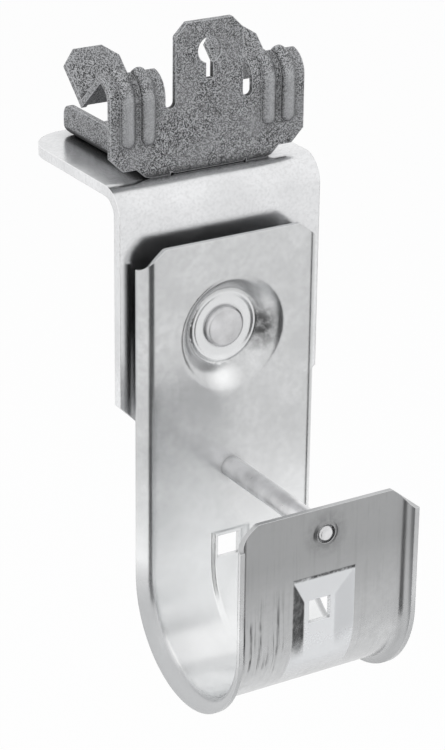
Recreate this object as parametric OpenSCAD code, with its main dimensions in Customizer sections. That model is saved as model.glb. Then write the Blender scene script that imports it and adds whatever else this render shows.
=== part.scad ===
// J hook cable support: a stamped hook riveted to an angle bracket that hangs from a spring beam clip.
// Origin: middle of the clip's throat, where the edge of a beam flange meets the clip's spine and rests on its jaw.
// +X to the right seen from the hook's mouth, +Y into the beam, +Z up. Millimetres.

/* [Hook] */
// Clear depth between back plate and lip
hook_depth = 33.3; // [28:0.1:38]
// Width over the curled sides
hook_width = 40.4; // [36:0.2:43]
// Sheet of the hook
hook_sheet = 1.0; // [0.8:0.1:1.2]
// Radius of the curled sides, outside
curl_radius = 3.0; // [2.4:0.1:3.3]
// Straight height of the back plate above the round bottom
plate_height = 69.1; // [62:0.1:78]
// Straight height of the lip above the round bottom
lip_height = 25.8; // [24:0.1:30]
// Width cut off each top corner
corner_width = 5.0; // [3.6:0.1:6]
// Height cut off each top corner
corner_height = 4.0; // [3:0.1:5]

/* [Riveting dish] */
// Diameter where the dish leaves the plate
dish_diameter = 23.0; // [20:0.2:25]
// Diameter of the dish's flat floor
dish_floor = 15.6; // [13:0.2:17]
// Depth of the dish
dish_depth = 3.7; // [3.4:0.1:4.2]
// Distance of the dish below the top edge
dish_drop = 19.7; // [17:0.1:22]

/* [Cable tie pads] */
// Side of the square windows
window_size = 4.9; // [4.2:0.1:5.4]
// Height of the window centre above the round bottom
window_rise = 3.5; // [2.5:0.1:4.5]
// Height of the plate's tie window above the round bottom
plate_window_rise = 2.7; // [2.5:0.1:3]
// Width of a pad at its outline
pad_width = 14.1; // [13:0.1:15]
// Depth of a pad
pad_depth = 1.4; // [1.2:0.1:1.9]
// Height of a pad's upper end above the round bottom
pad_rise = 11.8; // [11.5:0.1:13]
// Width of the plate's pad
plate_pad_width = 9; // [8.4:0.1:11]
// Depth of the plate's pad
plate_pad_depth = 0.7; // [0.5:0.1:0.8]
// Height of the upper end of the plate's pad above the round bottom
plate_pad_rise = 6.8; // [6.6:0.1:9]

/* [Retaining rod] */
// Diameter of the rod
rod_diameter = 4.4; // [3.8:0.1:5]
// Diameter of its shouldered ends
rod_end = 3.3; // [2.8:0.1:3.4]
// Height of the rod above the round bottom
rod_rise = 20.4; // [19.4:0.1:21]

/* [Angle bracket] */
// Width of the bracket
bracket_width = 45.2; // [44:0.2:50]
// Thickness of the bracket
bracket_sheet = 2.1; // [1.8:0.1:2.6]
// Outside radius of its bend
bracket_bend = 5.6; // [4.5:0.1:6]
// Height of the upright leg
bracket_height = 49.1; // [46:0.1:54]
// Depth of the level leg
bracket_reach = 39.6; // [38:0.1:46]
// Corner radius at the back of the level leg
bracket_corner = 9.0; // [6:0.5:12]
// Corner cut at the foot of the upright leg
bracket_cut = 5.0; // [3:0.5:7]
// Step from the bracket's top down to the top of the hook
hook_step = 11.1; // [9.5:0.1:13]

/* [Beam clip] */
// Width of the clip
clip_width = 43.2; // [40:0.2:44]
// Sheet of the clip
clip_sheet = 1.2; // [1:0.1:1.4]
// Width of the middle tab
tab_width = 15.0; // [13:0.2:16]
// Height of the tab above the beam seat
tab_height = 23.1; // [21:0.1:26]
// Width of the slots beside the tab
slot_width = 2.2; // [1.8:0.1:2.6]
// Height of the slots' round ends above the beam seat
slot_rise = 7.9; // [6.5:0.1:8.5]
// Height of the tooth tips above the beam seat
throat = 5.7; // [4.8:0.1:6.4]
// Distance of the tooth tips behind the spine
bite = 10.4; // [9.5:0.1:11.5]
// Outside radius of the arch over the beam
arch_radius = 4.8; // [4.2:0.1:5.2]
// Length of the tails
tail_length = 11.8; // [10:0.1:13]
// Width of the lower jaw
jaw_width = 28.4; // [26:0.2:30]
// Height of the lower jaw
jaw_height = 6.3; // [5.6:0.1:7]
// Length of the lower jaw
jaw_length = 31.6; // [28:0.1:33]
// Diameter of the round hole in the tab
hole_diameter = 5.2; // [4.8:0.1:5.8]

/* [Rivets] */
// Head of the hook rivet
rivet_head = 8.5; // [7.6:0.1:9.4]
// Shank of the rivets
rivet_shank = 5.0; // [4.4:0.1:5.6]

/* [Hidden] */
$fn = 96;
over = 1;

// heights, from the beam seat down
bracket_top = -jaw_height;
hook_top = bracket_top - hook_step;
dish_z = hook_top - dish_drop;
bend_z = hook_top - plate_height;
lip_top = bend_z + lip_height;
window_z = bend_z + window_rise;
plate_window_z = bend_z + plate_window_rise;
rod_z = bend_z + rod_rise;
pad_top = bend_z + pad_rise;
plate_pad_top = bend_z + plate_pad_rise;

// depths, from the clip's spine forward
bracket_face = -clip_sheet - 5.0;
plate_back = bracket_face - dish_depth;
plate_front = plate_back - hook_sheet;
lip_back = plate_front - hook_depth;
lip_front = lip_back - hook_sheet;
bend_y = plate_front - hook_depth / 2;
bend_inner = hook_depth / 2;
bend_outer = bend_inner + hook_sheet;

flat_half = hook_width / 2 - curl_radius;
curl_inner = curl_radius - hook_sheet;
pad_flank = pad_depth * 2.6;
pad_slope = pad_depth * 4.2;
plate_pad_flank = plate_pad_depth * 2.2;
plate_pad_slope = plate_pad_depth * 1.6;

bracket_rear = bracket_face + bracket_reach;
bracket_back = bracket_face + bracket_sheet;
bracket_foot = bracket_top - bracket_height;
bend_core = bracket_bend - bracket_sheet;

rod_hole = rod_end + 0.6;
rod_ring = rod_hole + 1.0;

arm_width = (clip_width - tab_width) / 2 - slot_width;
arm_mid = clip_width / 2 - arm_width / 2;
arch_mid = arch_radius - clip_sheet / 2;
arch_sweep = 82;
arch_z = throat + 3.4;
arch_y = arch_radius - clip_sheet;
fold = [arch_y - arch_mid * cos(arch_sweep), arch_z + arch_mid * sin(arch_sweep)];
tail_tilt = 42;
leg_run = bite - fold[0];
tooth = [bite, throat + 0.93];
leg_tilt = atan2(tooth[1] - fold[1], leg_run);
ear_foot = -jaw_height + 2.1;
ear_cut = 2.7;
ear_inner = clip_width / 2 - 5.0;
tongue_half = 8.5;
tongue_notch = clip_sheet * 0.55;
rib_gap = arm_width * 0.37;
rib_foot = 1.9;
rib_round = 1.9;
rib_proud = 0.9;
rib_sunk = rib_round - rib_proud;
rib_room = rib_round * 1.6;
tongue_gap = clip_sheet * 2.5;
pass_through = hook_sheet * 3;
tab_cut = 2.5;
hole_drop = tab_height * 0.255;
hole_z = tab_height - hole_drop;
key_length = hole_diameter * 0.58;
key_width = hole_diameter * 0.3;
key_foot = hole_z - hole_diameter / 2 - key_length;
clip_rivet_y = jaw_length * 0.5;

// ---------- hook ----------

// Cross-section of the strip: flat face with both sides curled away from the cables.
// The face lies on y = 0 and the curls rise to y = curl_radius.
module strip_section() {
    translate([-flat_half, 0]) square([2 * flat_half, hook_sheet]);
    for (s = [-1, 1])
        translate([s * flat_half, curl_radius])
            intersection() {
                difference() {
                    circle(r = curl_radius);
                    circle(r = curl_inner);
                }
                translate([s < 0 ? -curl_radius : 0, -curl_radius])
                    square([curl_radius, curl_radius]);
            }
}

// The two corners cut off a top edge that lies between depths y_near and y_far.
module corner_cuts(top, y_near, y_far) {
    for (s = [-1, 1])
        translate([0, y_far, 0])
            rotate([90, 0, 0])
                linear_extrude(height = y_far - y_near)
                    polygon([
                        [s * (hook_width / 2 - corner_width), top],
                        [s * (hook_width / 2), top - corner_height],
                        [s * (hook_width / 2 + 2), top - corner_height],
                        [s * (hook_width / 2 + 2), top + 2],
                        [s * (hook_width / 2 - corner_width), top + 2]
                    ]);
}

// A pad's section across the strip: its outline lies on y = 0, its floor on y = depth.
module pad_section(width, depth, flank) {
    polygon([
        [-width / 2 - flank, -depth],
        [-width / 2 + flank, depth],
        [width / 2 - flank, depth],
        [width / 2 + flank, -depth]
    ]);
}

// A straight pad from foot to top, with an upper end that slopes.
module pad_block(width, depth, flank, foot, top, slope) {
    intersection() {
        translate([0, 0, foot])
            linear_extrude(height = top - foot + 1)
                pad_section(width, depth, flank);
        translate([-width, 0, 0])
            rotate([90, 0, 90])
                linear_extrude(height = 2 * width)
                    polygon([
                        [-depth, foot],
                        [depth, foot],
                        [depth, top - slope],
                        [-depth, top + slope]
                    ]);
    }
}

// The lip's pad, pressed towards the cables; behind moves it back by that much.
module lip_pad(behind, foot) {
    translate([0, lip_front + behind, 0])
        pad_block(pad_width, pad_depth, pad_flank, foot, pad_top, pad_slope);
}

// The plate's pad, pressed away from the cables; it runs out where the round bottom turns level.
module plate_pad(behind) {
    translate([0, plate_front + behind, 0])
        pad_block(
            plate_pad_width, plate_pad_depth, plate_pad_flank,
            bend_z, plate_pad_top, plate_pad_slope
        );
    translate([0, bend_y + plate_pad_depth, bend_z])
        mirror([0, 1, 0])
            rotate([0, 90, 0])
                rotate([0, 0, -90])
                    rotate_extrude(angle = 120)
                        rotate([0, 0, 90])
                            mirror([0, 1])
                                translate([0, bend_inner - plate_pad_depth + behind])
                                    pad_section(plate_pad_width, plate_pad_depth, plate_pad_flank);
}

// The dish as a solid plug, its mouth on y = 0 and its floor at y = depth.
module dish_plug(depth) {
    rotate([-90, 0, 0])
        rotate_extrude()
            polygon([
                [0, -over],
                [dish_diameter / 2 + over, -over],
                [dish_diameter / 2, 0],
                [dish_floor / 2, depth],
                [0, depth]
            ]);
}

module dish_shell() {
    rotate([-90, 0, 0])
        rotate_extrude()
            polygon([
                [0, 0],
                [dish_diameter / 2 + 0.6, 0],
                [dish_diameter / 2 + 0.6, hook_sheet],
                [dish_floor / 2 + 0.4, dish_depth + hook_sheet],
                [0, dish_depth + hook_sheet]
            ]);
}

module hook_strip() {
    // back plate
    translate([0, plate_front, bend_z])
        linear_extrude(height = plate_height)
            strip_section();
    // round bottom
    translate([0, bend_y, bend_z])
        rotate([0, 90, 0])
            rotate([0, 0, -90])
                rotate_extrude(angle = 180)
                    rotate([0, 0, 90])
                        mirror([0, 1])
                            translate([0, bend_inner])
                                strip_section();
    // lip
    translate([0, lip_back, bend_z])
        mirror([0, 1, 0])
            linear_extrude(height = lip_height)
                strip_section();
}

module hook() {
    color([0.78, 0.79, 0.8])
        difference() {
            union() {
                difference() {
                    hook_strip();
                    corner_cuts(hook_top, bend_y, plate_front + curl_radius + over);
                    corner_cuts(lip_top, lip_back - curl_radius - over, bend_y);
                    translate([0, plate_front, dish_z]) dish_plug(dish_depth);
                    plate_pad(0);
                    lip_pad(0, bend_z - bend_inner * 0.62);
                }
                difference() {
                    translate([0, plate_front, dish_z]) dish_shell();
                    translate([0, plate_front, dish_z]) dish_plug(dish_depth);
                }
                // raised side of each pad
                intersection() {
                    translate([-plate_pad_width, bend_y + plate_pad_depth / 2, bend_z - 2 * bend_outer])
                        cube([2 * plate_pad_width, hook_depth, 4 * bend_outer]);
                    difference() {
                        plate_pad(hook_sheet);
                        plate_pad(0);
                    }
                }
                intersection() {
                    pad_room();
                    difference() {
                        lip_pad(hook_sheet, bend_z - bend_inner * 0.5);
                        lip_pad(0, bend_z - bend_inner * 0.62);
                    }
                }
                // ring round the rod's hole
                translate([0, lip_front + 0.2, rod_z])
                    rotate([90, 0, 0]) cylinder(r = rod_ring / 2, h = 0.5);
            }
            // tie windows
            for (at = [[plate_front, plate_window_z], [lip_back, window_z]])
                translate([-window_size / 2, at[0] - pass_through, at[1] - window_size / 2])
                    cube([window_size, 2 * pass_through, window_size]);
            // rod holes
            translate([0, lip_back + over, rod_z])
                rotate([90, 0, 0]) cylinder(r = rod_hole / 2, h = hook_sheet + 2);
            translate([0, plate_back + over, rod_z])
                rotate([90, 0, 0]) cylinder(r = rod_end / 2, h = hook_sheet + 2);
            // rivet hole
            translate([0, bracket_face + over, dish_z])
                rotate([90, 0, 0]) cylinder(r = rivet_shank / 2, h = hook_sheet + 2);
        }
}

// The space inside the hook's outer skin, which a pad may not leave.
module pad_room() {
    translate([-pad_width, lip_front, bend_z])
        cube([2 * pad_width, plate_back - lip_front, pad_rise + 1]);
    translate([-pad_width, bend_y, bend_z])
        rotate([0, 90, 0]) cylinder(r = bend_outer, h = 2 * pad_width);
}

// ---------- angle bracket ----------

module angle_section() {
    difference() {
        union() {
            translate([bracket_face, bracket_foot])
                square([bracket_sheet, bracket_height - bracket_bend]);
            translate([bracket_face + bracket_bend, bracket_top - bracket_sheet])
                square([bracket_reach - bracket_bend, bracket_sheet]);
            intersection() {
                translate([bracket_face + bracket_bend, bracket_top - bracket_bend])
                    circle(r = bracket_bend);
                translate([bracket_face, bracket_top - bracket_bend])
                    square([bracket_bend, bracket_bend]);
            }
        }
        translate([bracket_face + bracket_bend, bracket_top - bracket_bend])
            circle(r = bend_core);
    }
}

module angle_bracket() {
    color([0.86, 0.86, 0.87])
        difference() {
            intersection() {
                translate([-bracket_width / 2, 0, 0])
                    rotate([90, 0, 90]) linear_extrude(height = bracket_width) angle_section();
                // plan: rounded rear corners
                translate([0, 0, bracket_foot - over])
                    linear_extrude(height = bracket_height + 2 * over) {
                        translate([-bracket_width / 2, bracket_face - over])
                            square([bracket_width, bracket_reach - bracket_corner + over]);
                        translate([-bracket_width / 2 + bracket_corner, 0])
                            square([bracket_width - 2 * bracket_corner, bracket_rear]);
                        for (s = [-1, 1])
                            translate([s * (bracket_width / 2 - bracket_corner), bracket_rear - bracket_corner])
                                circle(r = bracket_corner);
                    }
            }
            // cut corners at the foot
            for (s = [-1, 1])
                translate([0, bracket_back + over, 0])
                    rotate([90, 0, 0])
                        linear_extrude(height = bracket_sheet + 2 * over)
                            polygon([
                                [s * (bracket_width / 2 - bracket_cut), bracket_foot],
                                [s * (bracket_width / 2), bracket_foot + bracket_cut],
                                [s * (bracket_width / 2 + 1), bracket_foot + bracket_cut],
                                [s * (bracket_width / 2 + 1), bracket_foot - 1],
                                [s * (bracket_width / 2 - bracket_cut), bracket_foot - 1]
                            ]);
            translate([0, bracket_back + over, dish_z])
                rotate([90, 0, 0]) cylinder(r = rivet_shank / 2, h = bracket_sheet + 2 * over);
            translate([0, clip_rivet_y, bracket_top - bracket_sheet - over])
                cylinder(r = rivet_shank / 2, h = bracket_sheet + 2 * over);
        }
}

// ---------- rivets ----------

// Clenched rivet along +Z: the upper head stands on z = 0, the lower head under z = -grip.
module rivet(head, grip, crown, foot) {
    rotate_extrude()
        polygon([
            [0, -grip - foot],
            [head / 2 - 0.5, -grip - foot],
            [head / 2, -grip - foot + 0.5],
            [head / 2, -grip],
            [rivet_shank / 2, -grip],
            [rivet_shank / 2, 0],
            [head / 2, 0],
            [head / 2, crown - 0.45],
            [head / 2 - 0.5, crown],
            [0, crown]
        ]);
}

module hook_rivet() {
    color([0.82, 0.82, 0.83])
        translate([0, bracket_face - hook_sheet, dish_z])
            rotate([90, 0, 0]) rivet(rivet_head, hook_sheet + bracket_sheet, 1.1, 1.2);
}

module clip_rivet() {
    color([0.6, 0.6, 0.62])
        translate([0, clip_rivet_y, bracket_top + clip_sheet])
            rivet(rivet_head + 1, clip_sheet + bracket_sheet, 1.3, 1.3);
}

// ---------- beam clip ----------

// Side view of an arm behind the arch: the sloping leg, the sharp tooth and the tail. Local x is depth, y is height.
module leg_and_tail() {
    h = clip_sheet / 2;
    n1 = [-sin(leg_tilt), cos(leg_tilt)];
    n2 = [-sin(tail_tilt), cos(tail_tilt)];
    half_turn = (tail_tilt - leg_tilt) / 2;
    mid = (tail_tilt + leg_tilt) / 2;
    m = h / cos(half_turn) * [-sin(mid), cos(mid)];
    tip = tooth + tail_length * [cos(tail_tilt), sin(tail_tilt)];
    polygon([
        fold + h * n1, tooth + m, tip + h * n2,
        tip - h * n2, tooth - m, fold - h * n1
    ]);
    translate(fold) circle(r = h);
}

// Front view of the flat spine with its ears, tongue and tab.
module spine_outline() {
    half = clip_width / 2;
    for (s = [0, 1])
        mirror([s, 0])
            polygon([
                [0, -jaw_height + 0.1],
                [tongue_half - 0.9, -jaw_height + 0.1],
                [tongue_half, -jaw_height + tongue_notch],
                [tongue_half, -jaw_height],
                [jaw_width / 2 - 1.2, -jaw_height],
                [jaw_width / 2, -jaw_height + 0.4],
                [ear_inner - 0.6, ear_foot],
                [half - ear_cut, ear_foot],
                [half, ear_foot + ear_cut],
                [half, arch_z],
                [half - arm_width, arch_z],
                [half - arm_width, slot_rise],
                [tab_width / 2, slot_rise],
                [tab_width / 2, tab_height - tab_cut],
                [tab_width / 2 - tab_cut, tab_height],
                [0, tab_height]
            ]);
}

module arm_tail_trim() {
    // tail seen square on: two cut corners
    translate([0, tooth[0], tooth[1]])
        rotate([tail_tilt, 0, 0])
            for (s = [-1, 1])
                translate([0, 0, -2 * clip_sheet])
                    linear_extrude(height = 4 * clip_sheet)
                        polygon([
                            [s * (arm_width / 2 - 2.8), tail_length],
                            [s * arm_width / 2, tail_length - 2.8],
                            [s * (arm_width / 2 + 1), tail_length - 2.8],
                            [s * (arm_width / 2 + 1), tail_length + 1],
                            [s * (arm_width / 2 - 2.8), tail_length + 1]
                        ]);
}

// Section of the ribbed arm: x runs across it, y from the sheet's back face outwards.
module ribbed_section() {
    difference() {
        union() {
            translate([-arm_width / 2, 0]) square([arm_width, clip_sheet]);
            for (s = [-1, 1])
                translate([s * rib_gap / 2, clip_sheet - rib_sunk]) circle(r = rib_round);
        }
        for (s = [-1, 1])
            translate([s * rib_gap / 2, -rib_sunk]) circle(r = rib_round);
        translate([-arm_width, -2 * rib_round]) square([2 * arm_width, 2 * rib_round]);
    }
}

// The straight stretch of one rib on the spine, with its round foot. inset moves it back through the sheet.
module rib(inset) {
    translate([0, rib_sunk - clip_sheet + inset, rib_foot]) {
        cylinder(r = rib_round, h = arch_z - rib_foot);
        sphere(r = rib_round);
    }
}

module arm() {
    difference() {
        union() {
            translate([0, arch_y, arch_z])
                rotate([90, 0, -90])
                    rotate_extrude(angle = arch_sweep)
                        translate([arch_radius - clip_sheet, 0])
                            rotate(-90) ribbed_section();
            translate([-arm_width / 2, 0, 0])
                rotate([90, 0, 90])
                    linear_extrude(height = arm_width) leg_and_tail();
        }
        arm_tail_trim();
        // the bite: a claw at each side, the middle set back
        translate([-arm_width / 2 + 1.1, bite - 2, throat - 1])
            cube([arm_width - 2.2, 4, 1.75]);
    }
}

// Lower jaw: a flat floor with upturned sides, seen along the beam's edge.
module jaw_section() {
    half = jaw_width / 2;
    r = 1.8;
    difference() {
        union() {
            translate([-half, -jaw_height + r]) square([jaw_width, jaw_height - r]);
            translate([-half + r, -jaw_height]) square([jaw_width - 2 * r, r]);
            for (s = [-1, 1])
                translate([s * (half - r), -jaw_height + r]) circle(r = r);
        }
        translate([-half + clip_sheet, -jaw_height + clip_sheet])
            square([jaw_width - 2 * clip_sheet, jaw_height]);
    }
}

module lower_jaw() {
    difference() {
        intersection() {
            translate([0, jaw_length, 0])
                rotate([90, 0, 0]) linear_extrude(height = jaw_length) jaw_section();
            // side view: rounded rear ends, and the sides start clear of the spine
            translate([-jaw_width, 0, 0])
                rotate([90, 0, 90])
                    linear_extrude(height = 2 * jaw_width) {
                        translate([0, -jaw_height]) square([jaw_length - 2.4, clip_sheet]);
                        translate([1.2, -jaw_height]) square([jaw_length - 3.6, jaw_height]);
                        translate([1.2, -jaw_height + 2.4]) square([jaw_length - 1.2, jaw_height - 4.8]);
                        for (z = [-2.4, -jaw_height + 2.4])
                            translate([jaw_length - 2.4, z]) circle(r = 2.4);
                    }
        }
        // slot that frees the tongue
        translate([-tongue_half, -over, -jaw_height - over])
            cube([2 * tongue_half, tongue_gap + over, clip_sheet + 2 * over]);
        translate([0, clip_rivet_y, -jaw_height - over])
            cylinder(r = rivet_shank / 2, h = clip_sheet + 2 * over);
    }
}

module beam_clip() {
    color([0.34, 0.35, 0.36])
        union() {
            difference() {
                union() {
                    rotate([90, 0, 0]) linear_extrude(height = clip_sheet) spine_outline();
                    for (s = [-1, 1])
                        translate([s * arm_mid, 0, 0])
                            for (r = [-1, 1])
                                translate([r * rib_gap / 2, 0, 0])
                                    intersection() {
                                        rib(0);
                                        translate([-rib_room, -clip_sheet - rib_room, rib_foot - rib_room])
                                            cube([2 * rib_room, clip_sheet + rib_room, arch_z - rib_foot + rib_room]);
                                    }
                }
                for (s = [-1, 1]) {
                    translate([s * arm_mid, 0, 0])
                        for (r = [-1, 1])
                            translate([r * rib_gap / 2, 0, 0]) rib(clip_sheet);
                    // round end of the slot
                    translate([s * (tab_width + slot_width) / 2, over, slot_rise])
                        rotate([90, 0, 0]) cylinder(r = slot_width / 2, h = clip_sheet + 2 * over);
                }
                // keyhole
                translate([0, over, hole_z])
                    rotate([90, 0, 0]) cylinder(r = hole_diameter / 2, h = clip_sheet + 2 * over);
                translate([-key_width / 2, -clip_sheet - over, key_foot])
                    cube([key_width, clip_sheet + 2 * over, hole_z - key_foot]);
            }
            for (s = [-1, 1])
                translate([s * arm_mid, 0, 0]) arm();
            lower_jaw();
        }
}

// ---------- retaining rod ----------

module retaining_rod() {
    color([0.8, 0.8, 0.81])
        translate([0, plate_back + 0.9, rod_z])
            rotate([90, 0, 0])
                rotate_extrude()
                    polygon([
                        [0, 0],
                        [rod_diameter / 2 - 0.4, 0],
                        [rod_diameter / 2, 0.4],
                        [rod_diameter / 2, 0.9],
                        [rod_end / 2, 0.9],
                        [rod_end / 2, 0.9 + hook_sheet],
                        [rod_diameter / 2, 0.9 + hook_sheet],
                        [rod_diameter / 2, 0.9 + hook_sheet + hook_depth],
                        [rod_end / 2, 0.9 + hook_sheet + hook_depth],
                        [rod_end / 2, 0.9 + 2 * hook_sheet + hook_depth],
                        [rod_end / 2 - 0.4, 1.3 + 2 * hook_sheet + hook_depth],
                        [0, 1.3 + 2 * hook_sheet + hook_depth]
                    ]);
}

hook();
angle_bracket();
hook_rivet();
beam_clip();
clip_rivet();
retaining_rod();
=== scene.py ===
from math import cos, pi, radians, sin
from types import SimpleNamespace

import bmesh
import bpy
import numpy as np
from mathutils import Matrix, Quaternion, Vector


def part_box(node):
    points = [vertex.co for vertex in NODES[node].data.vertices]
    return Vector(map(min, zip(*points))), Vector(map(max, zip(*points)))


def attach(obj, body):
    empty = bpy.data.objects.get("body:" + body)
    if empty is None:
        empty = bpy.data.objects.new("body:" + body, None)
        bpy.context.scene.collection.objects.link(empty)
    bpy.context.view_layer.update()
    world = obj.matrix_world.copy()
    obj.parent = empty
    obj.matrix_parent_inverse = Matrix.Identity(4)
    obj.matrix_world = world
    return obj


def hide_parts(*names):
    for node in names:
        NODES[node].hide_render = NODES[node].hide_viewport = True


bl_info = {
    "name": "J Hook Cable Support",
    "version": (1, 0, 0),
    "blender": (4, 5, 0),
    "location": "View3D > Sidebar > J Hook",
    "description": "Dresses a riveted J hook, its bracket and its beam clip",
    "category": "Object",
}

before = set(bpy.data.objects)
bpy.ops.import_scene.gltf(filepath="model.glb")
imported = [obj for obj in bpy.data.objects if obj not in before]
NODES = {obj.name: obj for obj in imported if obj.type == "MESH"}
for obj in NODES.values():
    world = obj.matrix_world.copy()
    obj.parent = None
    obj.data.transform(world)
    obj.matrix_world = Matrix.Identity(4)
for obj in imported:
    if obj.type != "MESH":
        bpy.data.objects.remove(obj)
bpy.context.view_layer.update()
MM = 0.001


# ---------- sizes and colours ----------

class StripSizes(bpy.types.PropertyGroup):
    """Sizes of the hook's pressed strip."""
    sheet: bpy.props.FloatProperty(
        name="Sheet", description="Thickness of the strip", default=1.0 * MM, unit="LENGTH")
    curl: bpy.props.FloatProperty(
        name="Curl radius", description="Radius of the rolled sides", default=3.0 * MM, unit="LENGTH")
    corner_width: bpy.props.FloatProperty(
        name="Corner width", description="Width cut off each top corner", default=5.0 * MM, unit="LENGTH")
    corner_height: bpy.props.FloatProperty(
        name="Corner height", description="Height cut off each top corner", default=4.0 * MM, unit="LENGTH")
    lip_height: bpy.props.FloatProperty(
        name="Lip height", description="Straight part of the lip", default=25.8 * MM, unit="LENGTH")
    dish_diameter: bpy.props.FloatProperty(
        name="Dish", description="Diameter of the dish at its mouth", default=23.0 * MM, unit="LENGTH")
    dish_floor: bpy.props.FloatProperty(
        name="Dish floor", description="Diameter of the dish's flat floor", default=15.6 * MM, unit="LENGTH")
    dish_depth: bpy.props.FloatProperty(
        name="Dish depth", description="How far the dish is pressed in", default=3.7 * MM, unit="LENGTH")
    dish_drop: bpy.props.FloatProperty(
        name="Dish drop", description="From the top edge to the dish's middle", default=19.7 * MM,
        unit="LENGTH")
    pad_width: bpy.props.FloatProperty(
        name="Pad width", description="Width of the lip's pad", default=14.1 * MM, unit="LENGTH")
    pad_depth: bpy.props.FloatProperty(
        name="Pad depth", description="How far the lip's pad is pressed in", default=1.4 * MM, unit="LENGTH")
    pad_rise: bpy.props.FloatProperty(
        name="Pad rise", description="From the bend to the top of the lip's pad", default=11.8 * MM,
        unit="LENGTH")
    plate_pad_width: bpy.props.FloatProperty(
        name="Plate pad width", description="Width of the plate's pad", default=9.0 * MM, unit="LENGTH")
    plate_pad_depth: bpy.props.FloatProperty(
        name="Plate pad depth", description="How far the plate's pad is pressed out", default=0.7 * MM,
        unit="LENGTH")
    plate_pad_rise: bpy.props.FloatProperty(
        name="Plate pad rise", description="From the bend to the top of the plate's pad", default=6.8 * MM,
        unit="LENGTH")
    window: bpy.props.FloatProperty(
        name="Tie window", description="Side of the square windows", default=4.9 * MM, unit="LENGTH")
    window_rise: bpy.props.FloatProperty(
        name="Window rise", description="From the bend to the middle of the lip's window", default=3.5 * MM,
        unit="LENGTH")
    plate_window_rise: bpy.props.FloatProperty(
        name="Plate window rise", description="From the bend to the middle of the plate's window",
        default=2.7 * MM, unit="LENGTH")
    rod_rise: bpy.props.FloatProperty(
        name="Rod rise", description="From the bend to the rod", default=20.4 * MM, unit="LENGTH")
    rod_hole: bpy.props.FloatProperty(
        name="Rod hole", description="Diameter of the hole in the lip", default=3.9 * MM, unit="LENGTH")
    plate_rod_hole: bpy.props.FloatProperty(
        name="Plate rod hole", description="Diameter of the hole in the plate", default=3.3 * MM,
        unit="LENGTH")


class FinishColours(bpy.types.PropertyGroup):
    """Base colours of the finishes."""
    galvanized: bpy.props.FloatVectorProperty(
        name="Galvanized", description="Hook", subtype="COLOR", default=(0.66, 0.665, 0.67))
    zinc: bpy.props.FloatVectorProperty(
        name="Zinc plate", description="Angle bracket", subtype="COLOR", default=(0.84, 0.845, 0.855))
    phosphate: bpy.props.FloatVectorProperty(
        name="Phosphate", description="Beam clip", subtype="COLOR", default=(0.215, 0.217, 0.222))
    rivet: bpy.props.FloatVectorProperty(
        name="Rivets", description="Clenched rivets", subtype="COLOR", default=(0.68, 0.68, 0.69))
    rod: bpy.props.FloatVectorProperty(
        name="Rod", description="Retaining rod", subtype="COLOR", default=(0.82, 0.82, 0.83))


# ---------- shader maths ----------

BEVEL_SAMPLES = 6
CRISP_EDGE = 0.1 * MM


class Value:
    """A socket that can be used in Python arithmetic."""

    def __init__(self, tree, socket):
        self.tree = tree
        self.socket = socket

    def _math(self, operation, first, second=0.0):
        node = self.tree.nodes.new("ShaderNodeMath")
        node.operation = operation
        for slot, term in enumerate((first, second)):
            if isinstance(term, Value):
                self.tree.links.new(term.socket, node.inputs[slot])
            else:
                node.inputs[slot].default_value = term
        return Value(self.tree, node.outputs[0])

    def __add__(self, other):
        return self._math("ADD", self, other)

    def __radd__(self, other):
        return self._math("ADD", other, self)

    def __sub__(self, other):
        return self._math("SUBTRACT", self, other)

    def __rsub__(self, other):
        return self._math("SUBTRACT", other, self)

    def __mul__(self, other):
        return self._math("MULTIPLY", self, other)

    def __rmul__(self, other):
        return self._math("MULTIPLY", other, self)

    def __truediv__(self, other):
        return self._math("DIVIDE", self, other)

    def __rtruediv__(self, other):
        return self._math("DIVIDE", other, self)

    def __abs__(self):
        return self._math("ABSOLUTE", self)

    def or_more(self, other):
        """The larger of the two."""
        return self._math("MAXIMUM", self, other)


class Nodes:
    """A node tree and the one method that adds to it."""

    def __init__(self, tree):
        self.tree = tree
        tree.nodes.clear()

    def node(self, kind, settings=None, output=0, slots=None, **inputs):
        """Adds a node, sets its settings first and then its inputs, and returns the output asked for.

        slots gives inputs by number, for nodes whose inputs share a name.
        """
        node = self.tree.nodes.new(kind)
        for key, value in (settings or {}).items():
            if key == "stops":
                self.set_stops(node.color_ramp.elements, value)
            else:
                setattr(node, key, value)
        named = {key.replace("_", " "): value for key, value in inputs.items()}
        for key, value in {**(slots or {}), **named}.items():
            if isinstance(value, Value):
                self.tree.links.new(value.socket, node.inputs[key])
            else:
                node.inputs[key].default_value = value
        return Value(self.tree, node.outputs[output]) if node.outputs else None

    @staticmethod
    def set_stops(elements, stops):
        """Gives a ramp its grey stops, each a place and a level."""
        while len(elements) > 1:
            elements.remove(elements[-1])
        elements[0].position = stops[0][0]
        elements[0].color = (stops[0][1],) * 3 + (1,)
        for place, level in stops[1:]:
            elements.new(place).color = (level,) * 3 + (1,)


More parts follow.
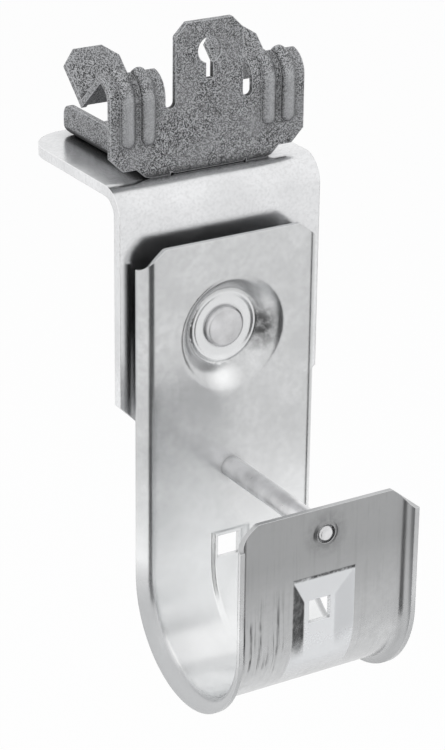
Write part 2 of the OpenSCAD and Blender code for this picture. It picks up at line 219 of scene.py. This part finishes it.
class Finish(Nodes):
    """One material and the patterns that its surface is made from."""

    def __init__(self, name):
        self.material = bpy.data.materials.new(name)
        self.material.use_nodes = True
        super().__init__(self.material.node_tree)

    def place(self, scale=(1, 1, 1)):
        where = self.node("ShaderNodeTexCoord", output="Object")
        return self.node("ShaderNodeMapping", Vector=where, Scale=scale)

    def noise(self, scale, detail=4.0, stretch=(1, 1, 1), rough=0.5):
        return self.node("ShaderNodeTexNoise", Vector=self.place(stretch), Scale=scale,
                         Detail=detail, Roughness=rough)

    def ramp(self, value, *stops):
        return self.node("ShaderNodeValToRGB", {"stops": stops}, Fac=value)

    def step(self, value, start, end):
        """0 at start and 1 at end. It stays sharp over fractions of a millimetre, where a ramp would not."""
        return self.node("ShaderNodeMapRange", {"clamp": True}, Value=value, From_Min=start, From_Max=end)

    def axis(self, name):
        where = self.node("ShaderNodeTexCoord", output="Object")
        return self.node("ShaderNodeSeparateXYZ", output=name, Vector=where)

    def spot(self, x, y, z):
        """Distance in metres from a point of the piece."""
        where = self.node("ShaderNodeTexCoord", output="Object")
        return self.node("ShaderNodeVectorMath", {"operation": "DISTANCE"}, output="Value",
                         slots={0: where, 1: (x, y, z)})

    def mix(self, factor, first, second):
        """A colour that goes from first to second as factor goes from 0 to 1."""
        return self.node("ShaderNodeMix", {"data_type": "RGBA"}, output=2,
                         slots={0: factor, 6: first, 7: second})

    def edges(self, radius):
        """1 along sharp edges and 0 on flat faces."""
        soft = self.node("ShaderNodeBevel", {"samples": BEVEL_SAMPLES}, Radius=radius)
        flat = self.node("ShaderNodeNewGeometry", output="Normal")
        agree = self.node("ShaderNodeVectorMath", {"operation": "DOT_PRODUCT"}, output="Value",
                          slots={0: soft, 1: flat})
        return self.ramp(1 - agree, (0.02, 0.0), (0.22, 1.0))

    def crevices(self, reach):
        """1 where the surface is open and less in grooves and narrow gaps."""
        return self.node("ShaderNodeAmbientOcclusion", {"samples": 8}, output="AO", Distance=reach)

    def surface(self, shader):
        """Joins the shader to the material's output."""
        self.node("ShaderNodeOutputMaterial", Surface=shader)
        return self.material

    def finish(self, colour, roughness, metallic, height, bump, round_edge):
        """Joins it all to the surface. bump is the height's depth in metres."""
        soft = self.node("ShaderNodeBevel", {"samples": BEVEL_SAMPLES}, Radius=round_edge)
        normal = self.node("ShaderNodeBump", Strength=1.0, Distance=bump, Height=height, Normal=soft)
        return self.surface(self.node("ShaderNodeBsdfPrincipled", Base_Color=colour, Roughness=roughness,
                                      Metallic=metallic, Normal=normal))


def tinted(colour, factor):
    """The colour made lighter or darker, with its alpha."""
    return (*(min(1.0, c * factor) for c in colour[:3]), 1.0)


def strip_masks(f, strip):
    """Where things are on the strip: each mask is 1 there and 0 elsewhere."""
    s = strip.sizes
    bend = strip.bend_z
    x, y, z = f.axis("X"), f.axis("Y"), f.axis("Z")
    aside = abs(x)
    outer = f.node("ShaderNodeAttribute", {"attribute_name": "outer"}, output="Fac")

    # the lip's outer face, which is rougher and painted darker, less so towards the bottom, and its lower
    # left corner
    front = f.step(y, strip.mid_y, strip.mid_y - 12 * MM) * outer
    lip = front * (0.1 + 0.9 * f.step(z, bend - 8 * MM, bend + 16 * MM))
    low_left = (f.step(z, bend + 11 * MM, bend + 4 * MM) * f.step(z, bend - 8 * MM, bend - 3 * MM)
                * f.step(x, -7.5 * MM, -10.5 * MM))

    # the rolled sides round the bottom, and the face that the cables lie on, which carries painted light that
    # fades out upwards
    curl = (f.step(aside, strip.flat + 0.2 * MM, strip.flat + 1.2 * MM)
            * f.step(z, bend + 4 * MM, bend - 6 * MM))
    # painted light on the face that the cables lie on, in and above the bend
    inside = f.step(z, bend + 26 * MM, bend + 4 * MM) * (1 - outer) * (1 - curl)

    # the lip's pad, with a painted reflection; its left wall, with painted shade; and the edge over its top,
    # with a painted shadow
    half, flank = s.pad_width / 2, strip.pad_flank
    pad_top = bend + s.pad_rise
    in_width = f.step(aside, half + CRISP_EDGE, half - CRISP_EDGE)
    pad = (front * in_width * f.step(z, pad_top + CRISP_EDGE, pad_top - CRISP_EDGE)
           * f.step(z, bend - 12 * MM, bend - 7 * MM))
    crease = (pad_top - z) / strip.pad_slope - (half - aside) / flank
    # painted shade on the pad's left wall
    wall = (pad * f.step(crease, 0.0, 0.08) * f.step(x, flank - half + CRISP_EDGE, flank - half - 0.3 * MM)
            * f.step(z, bend - 6 * MM, bend - 1 * MM))
    # painted shadow along the edge over the pad's top
    pad_top_shadow = (front * in_width * f.step(z, pad_top - 0.7 * MM, pad_top - 0.25 * MM)
                * f.step(z, pad_top + 0.35 * MM, pad_top + 0.05 * MM))

    # round the rod's hole
    near_rod = f.step(f.spot(0, strip.lip_face, bend + s.rod_rise), 5.5 * MM, 1.8 * MM) * front

    # the dish: its floor, with painted light; the foot of its rim, with a painted highlight; and painted
    # shade at its right
    dish_z = strip.top - s.dish_drop
    floor_radius = s.dish_floor / 2
    dish_floor = f.step(f.spot(0, strip.face + s.dish_depth, dish_z), floor_radius, floor_radius - 0.8 * MM)
    low_rim = f.step(f.spot(-1.5 * MM, strip.face + 1.5 * MM, dish_z - 9.5 * MM), 4.5 * MM, 1 * MM)
    # painted shade at the dish's right
    dish_shade = f.step(f.spot(7 * MM, strip.face + 2 * MM, dish_z - 1 * MM), 5.5 * MM, 2 * MM)
    return SimpleNamespace(front=front, lip=lip, low_left=low_left, curl=curl, inside=inside, pad=pad,
                           wall=wall, pad_top_shadow=pad_top_shadow, near_rod=near_rod, dish_floor=dish_floor,
                           low_rim=low_rim * (1 - outer), dish_shade=dish_shade * (1 - dish_floor) * (1 - outer))


def galvanized_sheet(colour, strip):
    """Pale mottled zinc. The lip's outer face is rougher and painted darker, and carries the upright
    scratches of handling.
    """
    f = Finish("galvanized_sheet")
    on = strip_masks(f, strip)
    cloud = f.noise(95, 5)
    mottle = f.noise(620, 5, rough=0.65)
    spangle = f.node("ShaderNodeTexVoronoi", {"feature": "F1"}, output="Color", Vector=f.place(), Scale=420)
    grain = f.noise(2600, 3)
    streak = f.noise(1500, 5, (1, 0.03, 0.03), 0.65)
    gaps = f.ramp(f.noise(420, 3, (1, 1, 0.35)), (0.42, 0.0), (0.56, 1.0))
    scratch = f.ramp(streak, (0.50, 0.0), (0.60, 1.0)) * (0.15 + 0.85 * gaps)
    uneven = f.ramp(mottle, (0.34, 0.25), (0.58, 1.0))

    # clean zinc, with painted light on the face that the cables lie on, and darker on the rolled sides
    shade = f.mix(f.ramp(cloud, (0.35, 0.0), (0.66, 1.0)), tinted(colour, 0.90), tinted(colour, 1.08))
    shade = f.mix(f.ramp(mottle, (0.40, 0.0), (0.62, 0.5)), shade, tinted(colour, 0.84))
    shade = f.mix(spangle * 0.07, shade, tinted(colour, 0.72))
    # painted light on the face that the cables lie on, in and above the bend
    shade = f.mix(on.inside * (0.5 + 0.5 * cloud), shade, tinted(colour, 1.5))
    shade = f.mix(on.curl * 0.8, shade, tinted(colour, 0.80))

    # the lip and its pad: a painted reflection on the pad, painted shade on its left wall and a painted
    # shadow along its top edge
    # the lip's outer face is painted darker, less so towards the bottom
    shade = f.mix(on.lip * 0.82, shade, tinted(colour, 0.52))
    # painted reflection: the pad is painted lighter
    shade = f.mix(on.pad * 0.95, shade, tinted(colour, 1.38))
    # painted shade on the pad's left wall
    shade = f.mix(on.wall * (0.5 + 0.5 * uneven), shade, tinted(colour, 0.26))
    # painted shadow along the edge over the pad's top
    shade = f.mix(on.pad_top_shadow * uneven, shade, tinted(colour, 0.08))
    rubbed = scratch * on.front * (1 - on.pad) * (0.08 + 0.84 * on.low_left)
    shade = f.mix(rubbed, shade, tinted(colour, 0.12))
    shade = f.mix(on.near_rod * uneven * 0.6, shade, tinted(colour, 0.22))

    # the dish: painted light on its floor, a painted highlight on the foot of its rim and painted shade at
    # its right
    shade = f.mix(on.dish_floor * 0.6, shade, tinted(colour, 1.35))
    shade = f.mix(on.low_rim * 0.9, shade, tinted(colour, 1.5))
    # painted shade at the dish's right
    shade = f.mix(on.dish_shade * (0.35 + 0.65 * uneven), shade, tinted(colour, 0.13))

    # painted highlights along the edges and painted shade in grooves and narrow gaps
    # painted highlight along the edges
    shade = f.mix(f.edges(0.22 * MM) * 0.75, shade, tinted(colour, 1.4))
    # painted shade in grooves and narrow gaps
    gap_shade = f.ramp(f.crevices(3 * MM), (0.25, 1.0), (0.85, 0.0))
    shade = f.mix(gap_shade * 0.6, shade, tinted(colour, 0.25))

    rough = 0.15 + 0.12 * cloud + 0.05 * grain + 0.12 * on.lip
    metal = 0.9 - 0.7 * on.pad * (1 - on.wall) - 0.35 * on.curl
    height = 0.4 * cloud + 0.25 * grain + 0.2 * mottle + 0.15 * streak
    return f.finish(shade, rough, metal, height, 0.022 * MM, 0.18 * MM)


def bright_zinc(colour):
    """Bright plate: close to a mirror, with faint rolling lines and a fine orange peel."""
    f = Finish("bright_zinc")
    peel = f.noise(900, 3)
    lines = f.noise(500, 3, (0.03, 1, 1))
    smudge = f.noise(60, 4)
    shade = f.mix(f.ramp(smudge, (0.38, 0.0), (0.66, 1.0)), tinted(colour, 0.88), tinted(colour, 1.05))
    speckle = f.noise(1500, 4, rough=0.7)
    shade = f.mix(f.ramp(speckle, (0.44, 0.0), (0.66, 0.4)), shade, tinted(colour, 0.72))
    # painted highlight along the edges
    shade = f.mix(f.edges(0.45 * MM) * 0.7, shade, tinted(colour, 1.25))
    # painted shade in grooves and narrow gaps
    gap_shade = f.ramp(f.crevices(5 * MM), (0.3, 1.0), (0.9, 0.0))
    shade = f.mix(gap_shade * 0.45, shade, tinted(colour, 0.22))
    rough = 0.13 + 0.12 * smudge + 0.05 * lines
    return f.finish(shade, rough, 1.0, 0.6 * peel + 0.4 * lines, 0.012 * MM, 0.3 * MM)


def dark_phosphate(colour):
    """Matt crystalline coat, with painted highlights along its edges."""
    f = Finish("dark_phosphate")
    crystal = f.node("ShaderNodeTexVoronoi", output="Color", Vector=f.place(), Scale=5600)
    speck = f.node("ShaderNodeTexVoronoi", Vector=f.place(), Scale=3600)
    cloud = f.noise(150, 4)
    shade = f.mix(f.ramp(crystal, (0.34, 0.0), (0.66, 1.0)), tinted(colour, 0.22), tinted(colour, 2.3))
    shade = f.mix(f.ramp(cloud, (0.42, 0.0), (0.72, 0.5)), shade, tinted(colour, 1.7))
    # the ribs stand out in front of the rest of the clip; their fronts get a painted highlight
    rib_highlight = f.step(f.axis("Y"), -1.4 * MM, -2.0 * MM)
    shade = f.mix(rib_highlight * 0.6, shade, tinted(colour, 2.3))
    # painted shade in the grooves between the ribs and in narrow gaps
    gap_shade = f.ramp(f.crevices(2.4 * MM), (0.70, 1.0), (0.97, 0.0))
    shade = f.mix(gap_shade * 0.95, shade, tinted(colour, 0.08))
    # painted highlight along the edges
    shade = f.mix(f.edges(0.32 * MM) * 0.85, shade, tinted(colour, 3.6))
    rough = 0.42 + 0.16 * crystal
    return f.finish(shade, rough, 0.6, 0.6 * crystal + 0.4 * speck, 0.02 * MM, 0.22 * MM)


def drawn_steel(name, colour, round_edge):
    """Bright steel with the fine rings that turning and drawing leave."""
    f = Finish(name)
    rings = f.noise(1500, 3, (1, 0.25, 1))
    cloud = f.noise(240, 4)
    shade = f.mix(f.ramp(cloud, (0.36, 0.0), (0.68, 1.0)), tinted(colour, 0.80), tinted(colour, 1.1))
    # painted highlight along the edges
    shade = f.mix(f.edges(round_edge) * 0.5, shade, tinted(colour, 1.25))
    rough = 0.2 + 0.14 * cloud + 0.06 * rings
    return f.finish(shade, rough, 1.0, 0.5 * rings + 0.5 * cloud, 0.012 * MM, round_edge)


def wear(obj, material):
    """Gives a piece its one material."""
    obj.data.materials.clear()
    obj.data.materials.append(material)


# ---------- hook strip ----------

# how far the walls of a pad run, as multiples of its depth
PAD_FLANK = 2.6
PAD_SLOPE = 4.2
PLATE_PAD_FLANK = 2.2
PLATE_PAD_SLOPE = 1.6
CRISP_ROUNDING = 0.25

# the grid: close together where something is pressed, wider elsewhere
GRID_FINE = 0.25 * MM
GRID_ACROSS = 0.55 * MM
GRID_ALONG = 0.6 * MM

DRILL_LENGTH = 6 * MM


def smooth(edge, x):
    """0 below 0 and 1 above edge, eased at both ends."""
    t = np.clip(x / edge, 0.0, 1.0)
    return t * t * (3 - 2 * t)


def crisp(edge, x):
    """A straight wall from 0 to 1 whose two ends are only just rounded."""
    t = np.clip(x / edge, 0.0, 1.0)
    return (1 - CRISP_ROUNDING) * t + CRISP_ROUNDING * t * t * (3 - 2 * t)


def grid_lines(low, high, coarse, fine_zones, fine, marks):
    """Places from low to high: close together in the fine zones, with a line on each mark."""
    places = [low]
    while places[-1] < high - coarse * 0.3:
        here = places[-1]
        near = any(a - 1e-6 <= here < b for a, b in fine_zones)
        places.append(min(high, here + (fine if near else coarse)))
    places[-1] = high
    places = np.array(places)
    for mark in marks:
        places[np.abs(places - mark).argmin()] = mark
    return np.unique(places)


def open_edges(quads):
    """The edges that only one quad uses, in the order in which they are met."""
    edges = {}
    for quad in quads:
        for k in range(4):
            edge = (quad[k], quad[(k + 1) % 4])
            if edge[::-1] in edges:
                del edges[edge[::-1]]
            else:
                edges[edge] = True
    return list(edges)


class Strip:
    """The hook's sheet as one surface: u runs across it, v along it from the plate's top to the lip's top."""

    def __init__(self, s):
        low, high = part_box("hook")
        self.sizes = s
        self.flat = high.x - s.curl
        self.top = high.z
        self.face = high.y - s.dish_depth - s.sheet
        self.lip_face = low.y + s.curl
        self.bend = (self.face - self.lip_face) / 2
        self.mid_y = (self.face + self.lip_face) / 2
        self.bend_z = low.z + self.bend + s.curl
        self.plate = self.top - self.bend_z
        self.turn = pi * self.bend
        self.length = self.plate + self.turn + s.lip_height
        self.reach = self.flat + s.curl * pi / 2
        self.rod = self.plate + self.turn + s.rod_rise
        self.pad_flank = s.pad_depth * PAD_FLANK
        self.pad_slope = s.pad_depth * PAD_SLOPE

    def across(self, u):
        """x and the rise off the face, for a place u across the strip."""
        a = np.clip((np.abs(u) - self.flat) / self.sizes.curl, 0, pi / 2)
        x = np.minimum(np.abs(u), self.flat) + self.sizes.curl * np.sin(a)
        return np.sign(u) * x, self.sizes.curl * (1 - np.cos(a))

    def trimmed(self, x, v):
        """v pulled in from both ends, to make the cut corners."""
        start = self.flat + self.sizes.curl - self.sizes.corner_width
        cut = self.sizes.corner_height * np.clip((np.abs(x) - start) / self.sizes.corner_width, 0, 1)
        span = self.sizes.corner_height * 3
        v = np.where(v < span, cut + v * (span - cut) / span, v)
        tail = self.length - v
        return np.where(tail < span, self.length - cut - tail * (span - cut) / span, v)

    def dish(self, x, v):
        """The riveting dish, with a low bead round its floor."""
        s = self.sizes
        r = np.hypot(x, v - s.dish_drop)
        slope = (s.dish_diameter - s.dish_floor) / 2
        rim = np.clip((s.dish_diameter / 2 + 0.5 * MM - r) / (slope + 0.5 * MM), 0, 1)
        bead = 0.25 * MM * np.exp(-((r - s.dish_floor / 2 + 0.8 * MM) / (0.55 * MM)) ** 2)
        return s.dish_depth * rim ** 1.7 - bead

    def lip_pad(self, x, v):
        """The lip's pad, which runs out in the bend."""
        s = self.sizes
        height = v - self.plate - self.turn
        side = crisp(self.pad_flank, s.pad_width / 2 - np.abs(x))
        on_flat = np.minimum(side, crisp(self.pad_slope, s.pad_rise - height))
        angle = np.clip(-height / self.bend, 0, pi / 3)
        ledge = np.maximum(0, self.bend - (self.bend - s.pad_depth) / np.cos(angle))
        return np.where(height >= 0, on_flat * s.pad_depth, side * ledge)

    def plate_pad(self, x, v):
        """The plate's pad, pressed the other way and lower."""
        s = self.sizes
        height = self.plate - v
        side = crisp(s.plate_pad_depth * PLATE_PAD_FLANK, s.plate_pad_width / 2 - np.abs(x))
        on_flat = np.minimum(side, crisp(s.plate_pad_depth * PLATE_PAD_SLOPE, s.plate_pad_rise - height))
        angle = np.clip(-height / self.bend, 0, pi / 2)
        return s.plate_pad_depth * np.maximum(0, on_flat + np.cos(angle) - 1)

    def collar(self, x, v):
        """The raised ring round the rod's hole in the lip."""
        away = np.hypot(x, v - self.rod)
        return 0.3 * MM * smooth(0.5 * MM, self.sizes.rod_hole / 2 + 0.8 * MM - away)

    def pressed(self, x, v):
        """How far the face is pressed out of its plane."""
        return self.dish(x, v) - self.lip_pad(x, v) + self.plate_pad(x, v) + self.collar(x, v)

    def surface(self, u, v):
        x, rise = self.across(u)
        v = self.trimmed(x, v)
        angle = np.clip((v - self.plate) / self.bend, 0, pi)
        rise = rise + self.pressed(x, v)
        down = np.minimum(v, self.plate)
        up = np.maximum(v - self.plate - self.turn, 0)
        y = self.mid_y + (self.bend + rise) * np.cos(angle)
        z = self.top - down + up - (self.bend + rise) * np.sin(angle)
        return np.stack([x, y, z], -1)

    def outward(self, u, v):
        """The way out of the sheet before it is pressed, so that the offset never folds over itself."""
        x, _ = self.across(u)
        lean = np.sign(u) * np.clip((np.abs(u) - self.flat) / self.sizes.curl, 0, pi / 2)
        angle = np.clip((self.trimmed(x, v) - self.plate) / self.bend, 0, pi)
        return np.stack([-np.sin(lean), np.cos(lean) * np.cos(angle), -np.cos(lean) * np.sin(angle)], -1)

    def mesh(self):
        s = self.sizes
        half = s.window / 2
        windows = [self.plate - s.plate_window_rise, self.plate + self.turn + s.window_rise]
        wide = s.dish_floor / 2 + 1.2 * MM
        dish = (s.dish_drop - wide, s.dish_drop + wide)
        pads = [(w - 7 * MM, w + 7 * MM) for w in windows]
        us = grid_lines(-self.reach, self.reach, GRID_ACROSS, [(-wide, wide)], GRID_FINE, [-half, half])
        marks = [w + k * half for w in windows for k in (-1, 1)]
        zones = [dish, (self.rod - 3 * MM, self.rod + 3 * MM), *pads]
        vs = grid_lines(0, self.length, GRID_ALONG, zones, GRID_FINE, marks)
        u, v = np.meshgrid(us, vs)
        face = self.surface(u, v)
        back = face + self.outward(u, v) * s.sheet
        rows, columns = u.shape
        count = rows * columns
        points = np.concatenate([face.reshape(-1, 3), back.reshape(-1, 3)])
        quads = []
        for j in range(rows - 1):
            middle_v = (vs[j] + vs[j + 1]) / 2
            window_row = any(abs(middle_v - w) < half for w in windows)
            for i in range(columns - 1):
                if window_row and abs((us[i] + us[i + 1]) / 2) < half:
                    continue
                a = j * columns + i
                quads.append((a, a + 1, a + 1 + columns, a + columns))
        walls = [(b, a, a + count, b + count) for a, b in open_edges(quads)]
        backs = [tuple(k + count for k in reversed(q)) for q in quads]
        mesh = bpy.data.meshes.new("hook_strip")
        mesh.from_pydata(points.tolist(), [], quads + backs + walls)
        outer = mesh.attributes.new("outer", "FLOAT", "FACE")
        outer.data.foreach_set("value", [0.0] * len(quads) + [1.0] * len(backs) + [0.5] * len(walls))
        mesh.update()
        return mesh


def drilled(obj, radius, centre, length):
    """Cuts a round hole along Y and leaves a plain mesh."""
    bpy.ops.mesh.primitive_cylinder_add(vertices=48, radius=radius, depth=length, location=centre,
                                        rotation=(pi / 2, 0, 0))
    tool = bpy.context.object
    cut = obj.modifiers.new("hole", "BOOLEAN")
    cut.operation = "DIFFERENCE"
    cut.solver = "EXACT"
    cut.object = tool
    shaped = obj.evaluated_get(bpy.context.evaluated_depsgraph_get())
    mesh = bpy.data.meshes.new_from_object(shaped)
    obj.modifiers.clear()
    obj.data = mesh
    bpy.data.objects.remove(tool)


def upright(mesh):
    """Turns the faces outwards if the closed shell came out inside out."""
    bm = bmesh.new()
    bm.from_mesh(mesh)
    bmesh.ops.remove_doubles(bm, verts=bm.verts, dist=1e-7)
    bmesh.ops.recalc_face_normals(bm, faces=bm.faces)
    for face in bm.faces:
        face.smooth = True
    bm.to_mesh(mesh)
    bm.free()
    mesh.set_sharp_from_angle(angle=radians(35))


class JHOOK_OT_strip(bpy.types.Operator):
    """Makes the pressed hook strip"""
    bl_idname = "jhook.strip"
    bl_label = "Hook strip"

    def execute(self, context):
        strip = Strip(context.scene.jhook_sizes)
        piece = bpy.data.objects.new("hook_strip", strip.mesh())
        context.scene.collection.objects.link(piece)
        upright(piece.data)
        s = strip.sizes
        rod_z = strip.bend_z + s.rod_rise
        drilled(piece, s.rod_hole / 2, (0, strip.lip_face, rod_z), DRILL_LENGTH)
        drilled(piece, s.plate_rod_hole / 2, (0, strip.face, rod_z), DRILL_LENGTH)
        upright(piece.data)
        wear(piece, galvanized_sheet(context.scene.jhook_colours.galvanized, strip))
        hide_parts("hook")
        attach(piece, "root")
        return {"FINISHED"}


class JHOOK_OT_bracket(bpy.types.Operator):
    """Finishes the angle bracket"""
    bl_idname = "jhook.bracket"
    bl_label = "Angle bracket"

    def execute(self, context):
        wear(NODES["angle_bracket"], bright_zinc(context.scene.jhook_colours.zinc))
        return {"FINISHED"}


class JHOOK_OT_clip(bpy.types.Operator):
    """Finishes the spring clip"""
    bl_idname = "jhook.clip"
    bl_label = "Beam clip"

    def execute(self, context):
        wear(NODES["beam_clip"], dark_phosphate(context.scene.jhook_colours.phosphate))
        return {"FINISHED"}


class JHOOK_OT_fasteners(bpy.types.Operator):
    """Finishes the rivets and the rod"""
    bl_idname = "jhook.fasteners"
    bl_label = "Rivets and rod"

    def execute(self, context):
        colours = context.scene.jhook_colours
        rivet = drawn_steel("rivet_steel", colours.rivet, 0.4 * MM)
        wear(NODES["hook_rivet"], rivet)
        wear(NODES["clip_rivet"], rivet)
        wear(NODES["retaining_rod"], drawn_steel("rod_steel", colours.rod, 0.3 * MM))
        return {"FINISHED"}


# ---------- stage ----------

# where the camera stands, round LOOK_AT
LOOK_AT = Vector((-11.5, -25.9, -38.3)) * MM
AZIMUTH = radians(-31.57)
ELEVATION = radians(23.17)
ROLL = radians(0.70)
DISTANCE = 0.485
LENS = 123.5
FRAME_SIDE = 36.0

# the floor lies this far under the hook
FLOOR_DROP = 0.26
FLOOR_SIZE = 6
WHITE = (1, 1, 1, 1)

# name, place from LOOK_AT, size and watts
LAMPS = (
    ("key", (-0.55, -0.45, 0.6), (0.5, 0.5), 3.4),
    ("fill", (0.6, -0.55, 0.15), (0.5, 0.6), 0.9),
    ("back", (0.1, 0.6, 0.5), (0.6, 0.4), 1.4),
)

# name, place from LOOK_AT and size
DARK_CARDS = (
    ("front_card", (-0.06, -0.33, -0.14), (0.26, 0.28)),
    ("side_card", (0.30, -0.10, -0.15), (0.09, 0.24)),
)


def white_to_camera(nodes, plain, white, share):
    """Camera, glossy and transmission rays see white; the rest see the plain shader."""
    seen = nodes.node("ShaderNodeLightPath", output="Is Camera Ray")
    for name in ("Is Glossy Ray", "Is Transmission Ray"):
        seen = seen.or_more(nodes.node("ShaderNodeLightPath", output=name))
    return nodes.node("ShaderNodeMixShader", slots={0: seen * share, 1: plain, 2: white})


def lamp(name, place, size, power):
    """A soft lamp that bright metal doesn't mirror, where it would show as a square glint."""
    data = bpy.data.lights.new(name, "AREA")
    data.shape = "RECTANGLE"
    data.size, data.size_y = size
    data.energy = power
    obj = bpy.data.objects.new(name, data)
    obj.location = LOOK_AT + Vector(place)
    obj.rotation_euler = (-Vector(place)).to_track_quat("-Z", "Y").to_euler()
    obj.visible_glossy = False
    bpy.context.scene.collection.objects.link(obj)


def dark_card(name, place, size):
    """A dark card out of the camera's sight, which bright metal mirrors as a dark band."""
    bpy.ops.mesh.primitive_plane_add(size=1, location=LOOK_AT + Vector(place))
    card = bpy.context.object
    card.name = name
    card.scale = (*size, 1)
    card.rotation_euler = (-Vector(place)).to_track_quat("Z", "Y").to_euler()
    card.visible_camera = False
    card.visible_shadow = False
    cloth = Finish("black_cloth")
    wear(card, cloth.surface(cloth.node("ShaderNodeBsdfDiffuse", Color=(0.03, 0.03, 0.03, 1))))


class JHOOK_OT_stage(bpy.types.Operator):
    """Sets the floor, the lights and the camera"""
    bl_idname = "jhook.stage"
    bl_label = "Stage"

    def execute(self, context):
        scene = context.scene
        scene.world = bpy.data.worlds.new("studio")
        scene.world.use_nodes = True
        sky = Nodes(scene.world.node_tree)
        plain = sky.node("ShaderNodeBackground", Color=(0.95, 0.97, 1.0, 1), Strength=0.6)
        white = sky.node("ShaderNodeBackground", Color=WHITE, Strength=1.0)
        sky.node("ShaderNodeOutputWorld", Surface=white_to_camera(sky, plain, white, 1))

        bpy.ops.mesh.primitive_plane_add(size=FLOOR_SIZE, location=(0, 0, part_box("hook")[0].z - FLOOR_DROP))
        floor = context.object
        floor.name = "floor"
        paper = Finish("paper")
        matt = paper.node("ShaderNodeBsdfDiffuse", Color=(0.86, 0.86, 0.86, 1))
        white = paper.node("ShaderNodeEmission", Color=WHITE, Strength=1.0)
        wear(floor, paper.surface(white_to_camera(paper, matt, white, 0.96)))

        for name, place, size, power in LAMPS:
            lamp(name, place, size, power)
        for name, place, size in DARK_CARDS:
            dark_card(name, place, size)

        back = Vector((sin(AZIMUTH) * cos(ELEVATION), -cos(AZIMUTH) * cos(ELEVATION), sin(ELEVATION)))
        data = bpy.data.cameras.new("camera")
        data.sensor_fit = "VERTICAL"
        data.sensor_height = FRAME_SIDE
        data.lens = LENS
        data.clip_start = 0.01
        camera = bpy.data.objects.new("camera", data)
        camera.location = LOOK_AT + back * DISTANCE
        aim = (-back).to_track_quat("-Z", "Y") @ Quaternion((0, 0, 1), ROLL)
        camera.rotation_euler = aim.to_euler()
        scene.collection.objects.link(camera)
        scene.camera = camera
        scene.view_settings.view_transform = "Standard"
        return {"FINISHED"}


class JHOOK_PT_panel(bpy.types.Panel):
    """Lists the pieces"""
    bl_idname = "JHOOK_PT_panel"
    bl_label = "J Hook"
    bl_space_type = "VIEW_3D"
    bl_region_type = "UI"
    bl_category = "J Hook"

    def draw(self, context):
        for operator in OPERATORS:
            self.layout.operator(operator.bl_idname)
        for group in (context.scene.jhook_sizes, context.scene.jhook_colours):
            for name in group.bl_rna.properties.keys():
                if name not in ("rna_type", "name"):
                    self.layout.prop(group, name)


OPERATORS = (JHOOK_OT_stage, JHOOK_OT_strip, JHOOK_OT_bracket, JHOOK_OT_clip, JHOOK_OT_fasteners)
CLASSES = (StripSizes, FinishColours, *OPERATORS, JHOOK_PT_panel)


def register():
    for cls in CLASSES:
        bpy.utils.register_class(cls)
    bpy.types.Scene.jhook_sizes = bpy.props.PointerProperty(type=StripSizes)
    bpy.types.Scene.jhook_colours = bpy.props.PointerProperty(type=FinishColours)


def unregister():
    del bpy.types.Scene.jhook_colours
    del bpy.types.Scene.jhook_sizes
    for cls in reversed(CLASSES):
        bpy.utils.unregister_class(cls)


def main():
    register()
    bpy.ops.jhook.stage()
    bpy.ops.jhook.strip()
    bpy.ops.jhook.bracket()
    bpy.ops.jhook.clip()
    bpy.ops.jhook.fasteners()


if __name__ == "__main__":
    main()
